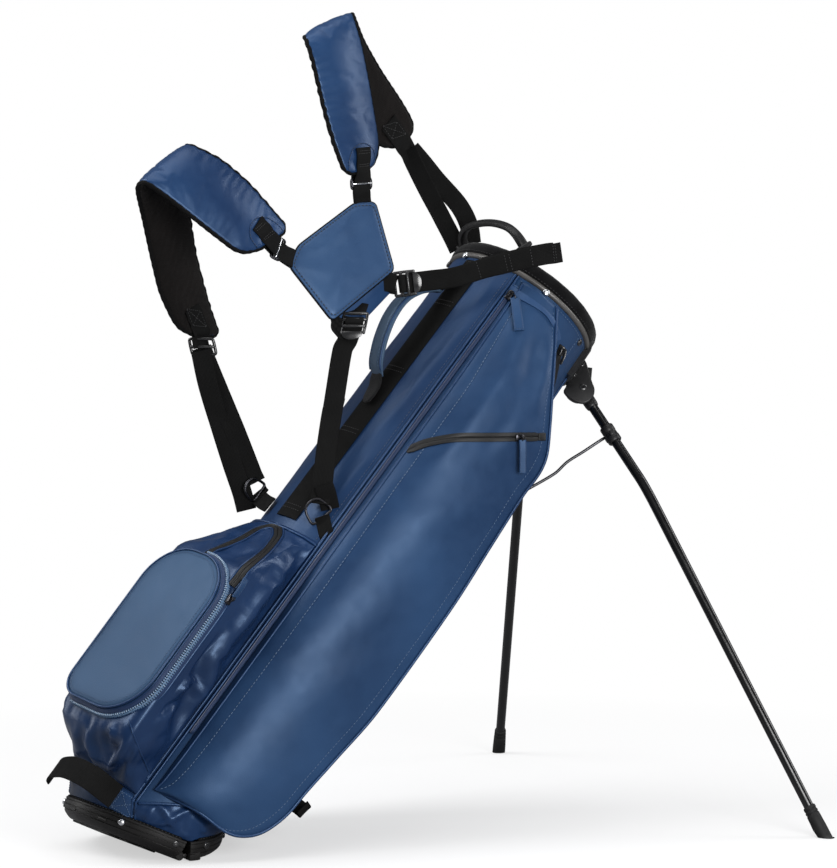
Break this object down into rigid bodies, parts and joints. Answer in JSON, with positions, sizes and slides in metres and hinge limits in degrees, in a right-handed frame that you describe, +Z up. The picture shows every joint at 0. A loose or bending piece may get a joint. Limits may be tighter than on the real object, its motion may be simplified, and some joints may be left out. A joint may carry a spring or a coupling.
{
  "type": "golf stand bag",
  "caption": "Golf stand bag leaning on two fold-out legs and a hinged base, with a padded double shoulder harness and zipped pockets.",
  "frame": {"origin": "on the floor, at the centre of the base hinge line, where the sole of the front foot begins", "axes": "+X forward to the side the legs fold out to, -Y the side with the full-length apparel pocket, +Z up"},
  "size_m": [0.8979, 0.7734, 1.0343],
  "materials": {
    "base_plastic": "satin, moulded",
    "steel": "bright",
    "navy_skin": "semi-gloss coated fabric with fine grain",
    "lid_skin": "semi-matt coated fabric with fine grain",
    "cuff_grey": "satin",
    "velour": "short pile",
    "moulded_plastic": "satin",
    "lining": "plain weave",
    "wire": "black, gloss",
    "leg_tube": "black, high gloss",
    "foot_rubber": "matt",
    "zip_tape": "woven tape with moulded teeth",
    "zip_metal": "black, gloss",
    "coated_tape": "matt coated tape",
    "webbing": "woven webbing",
    "ring_metal": "dark plated"
  },
  "bodies": {
    "root": {"base_shell": "base_plastic", "base_hinge_pin": "steel", "base_screw_near": "steel", "base_screw_far": "steel", "spine_panel": "navy_skin", "near_side_panel": "navy_skin", "far_side_panel": "navy_skin", "underside_panel": "navy_skin", "front_skirt": "navy_skin", "cuff_ring": "cuff_grey", "cuff_pad": "velour", "top_handle": "moulded_plastic", "divider_frame": "velour", "divider_sheet": "lining", "stay_near": "wire", "stay_far": "wire", "leg_bracket": "moulded_plastic", "pivot_pin_near": "steel", "pivot_pin_far": "steel", "near_pocket": "navy_skin", "far_pocket": "navy_skin", "ball_pocket": "navy_skin", "main_zip_tape": "zip_tape", "chest_zip_tape": "coated_tape", "spine_webbing": "webbing", "underside_loop": "webbing", "dring_near": "ring_metal"},
    "foot": {"base_foot": "base_plastic"},
    "near_leg": {"leg_near": "leg_tube", "leg_fitting_near": "moulded_plastic", "leg_clip_near": "moulded_plastic", "leg_foot_near": "foot_rubber"},
    "far_leg": {"leg_far": "leg_tube", "leg_fitting_far": "moulded_plastic", "leg_clip_far": "moulded_plastic", "leg_foot_far": "foot_rubber"},
    "push_rod": {"activation_rod": "wire"},
    "strut_near": {"strut_wire_near": "wire"},
    "strut_far": {"strut_wire_far": "wire"},
    "pocket_lid": {"ball_pocket_lid": "lid_skin"},
    "main_slider": {"main_zip_slider": "zip_metal"},
    "main_pull": {"main_zip_pull": "navy_skin"},
    "chest_slider": {"chest_zip_slider": "zip_metal"},
    "chest_pull": {"chest_zip_pull": "navy_skin"},
    "pocket_slider": {"ball_zip_slider": "zip_metal"},
    "carry": {"carry_handle": "lid_skin"},
    "grab": {"grab_handle": "webbing"},
    "harness": {"centre_pad": "navy_skin", "strap_top": "webbing", "strap_lower": "webbing", "ladder_lock_top": "moulded_plastic", "ladder_lock_lower": "moulded_plastic", "link_ring_left": "ring_metal", "link_ring_right": "ring_metal"},
    "left_loop": {"shoulder_pad_left": "navy_skin", "strap_loop_left": "webbing"},
    "right_loop": {"shoulder_pad_right": "navy_skin", "strap_loop_right": "webbing"},
    "far_ring": {"dring_far": "ring_metal"}
  },
  "joints": [
    {"name": "leg_near_swing", "type": "hinge", "parent": "root", "child": "near_leg", "pos_m": [0.61009, -0.049, 0.54672], "axis": [-0.438, -0.8173, 0.3744], "range_deg": [-60, 0]},
    {"name": "leg_far_swing", "type": "hinge", "parent": "root", "child": "far_leg", "pos_m": [0.61009, 0.049, 0.54672], "axis": [0.438, -0.8173, -0.3744], "range_deg": [-60, 0]},
    {"name": "base_flex", "type": "hinge", "parent": "root", "child": "foot", "pos_m": [0, 0, 0.006], "axis": [0, 1, 0], "range_deg": [0, 25]},
    {"name": "push_rod_slide", "type": "slide", "parent": "root", "child": "push_rod", "axis": [0.6498, 0, 0.7601], "range_m": [-0.05742, 0]},
    {"name": "strut_near_swing", "type": "hinge", "parent": "push_rod", "child": "strut_near", "pos_m": [0.47158, -0.014, 0.38622], "axis": [-0.5282, -0.7928, 0.3042], "range_deg": [0, 18.11]},
    {"name": "strut_far_swing", "type": "hinge", "parent": "push_rod", "child": "strut_far", "pos_m": [0.47158, 0.014, 0.38622], "axis": [0.5282, -0.7928, -0.3042], "range_deg": [0, 18.11]},
    {"name": "pocket_lid_open", "type": "hinge", "parent": "root", "child": "pocket_lid", "pos_m": [-0.0237, 0.01697, 0.28206], "axis": [-0.6498, 0, -0.7601], "range_deg": [0, 75]},
    {"name": "main_zip_slide", "type": "slide", "parent": "root", "child": "main_slider", "axis": [-0.6578, -0.0036, -0.7532], "range_m": [0, 0.45]},
    {"name": "main_pull_swing", "type": "hinge", "parent": "main_slider", "child": "main_pull", "pos_m": [0.46469, -0.10195, 0.66531], "axis": [0.286, 0.9535, 0.0953], "range_deg": [-30, 30]},
    {"name": "chest_zip_slide", "type": "slide", "parent": "root", "child": "chest_slider", "axis": [-0.9998, 0, 0.0219], "range_m": [0, 0.085]},
    {"name": "chest_pull_swing", "type": "hinge", "parent": "chest_slider", "child": "chest_pull", "pos_m": [0.44698, -0.1552, 0.49372], "axis": [0, 1, 0], "range_deg": [-60, 60]},
    {"name": "pocket_zip_slide", "type": "slide", "parent": "root", "child": "pocket_slider", "axis": [-0.6498, 0, -0.7601], "range_m": [0, 0.15]},
    {"name": "carry_handle_flop", "type": "hinge", "parent": "root", "child": "carry", "pos_m": [0.36768, -0.019, 0.62633], "axis": [0.6613, 0, 0.7501], "range_deg": [-25, 25]},
    {"name": "grab_handle_fold", "type": "hinge", "parent": "root", "child": "grab", "pos_m": [-0.08955, 0, 0.08839], "axis": [0, 1, 0], "range_deg": [-60, 6]},
    {"name": "harness_swing", "type": "hinge", "parent": "root", "child": "harness", "pos_m": [0.34994, 0, 0.58558], "axis": [0.6873, 0, 0.7263], "range_deg": [-8, 8]},
    {"name": "left_shoulder_loop_swing", "type": "hinge", "parent": "harness", "child": "left_loop", "pos_m": [0.1875, -0.0005, 0.7315], "axis": [0.0239, 0.1975, -0.98], "range_deg": [-10, 10]},
    {"name": "right_shoulder_loop_swing", "type": "hinge", "parent": "harness", "child": "right_loop", "pos_m": [0.309, 0.003, 0.813], "axis": [0.8927, 0.3006, -0.3358], "range_deg": [-10, 10]},
    {"name": "dring_far_flop", "type": "hinge", "parent": "root", "child": "far_ring", "pos_m": [0.1943, 0.062, 0.42197], "axis": [0.6498, 0, 0.7601], "range_deg": [-25, 25]}
  ],
  "couplings": [
    {"joint": "leg_far_swing", "follows": "leg_near_swing", "ratio": 1},
    {"joint": "base_flex", "follows": "leg_near_swing", "ratio": -0.41667},
    {"joint": "push_rod_slide", "follows": "leg_near_swing", "m_per_rad": 0.054819},
    {"joint": "strut_near_swing", "follows": "leg_near_swing", "ratio": -0.30171},
    {"joint": "strut_far_swing", "follows": "leg_near_swing", "ratio": -0.30171}
  ]
}
